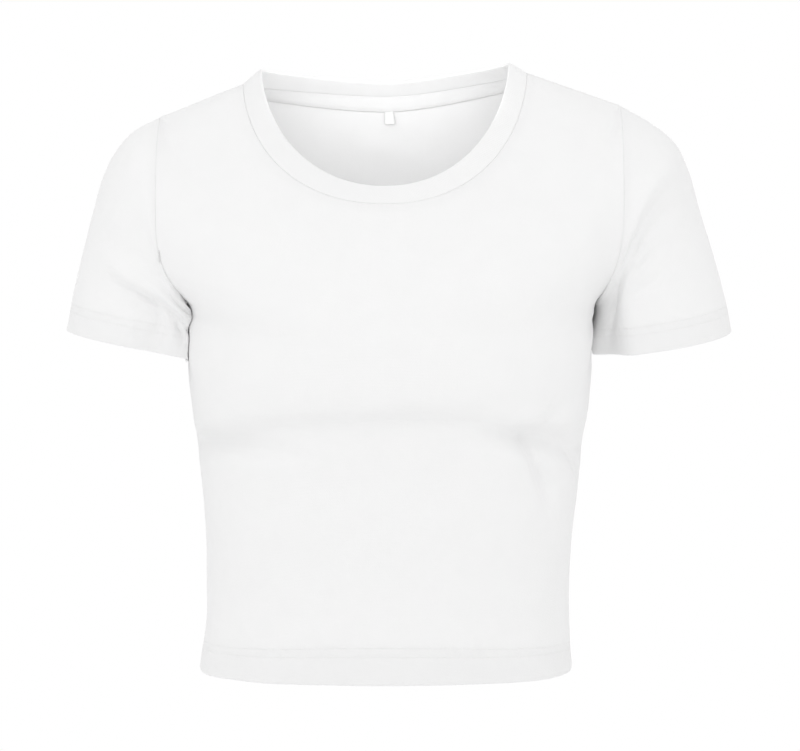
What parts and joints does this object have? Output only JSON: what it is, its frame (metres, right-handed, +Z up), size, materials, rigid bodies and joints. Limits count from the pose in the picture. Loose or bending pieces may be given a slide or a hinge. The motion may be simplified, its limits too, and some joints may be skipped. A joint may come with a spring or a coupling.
{
  "type": "crop top",
  "caption": "White short-sleeved cropped T-shirt with a round rib neck, filled out as if worn.",
  "frame": {"origin": "centre of the neck opening, level with the two shoulder points of the neck", "axes": "+X to the wearer's left, -Y to the front, +Z up"},
  "size_m": [0.4855, 0.205, 0.4411],
  "materials": {
    "jersey": "matte single-jersey knit",
    "rib": "matte rib knit",
    "tape": "matte cotton tape",
    "label": "smooth woven ribbon"
  },
  "bodies": {
    "root": {"front": "jersey", "back": "jersey", "sleeve_left": "jersey", "sleeve_right": "jersey", "neckband": "rib", "neck_tape": "tape", "size_label": "label"}
  },
  "joints": []
}
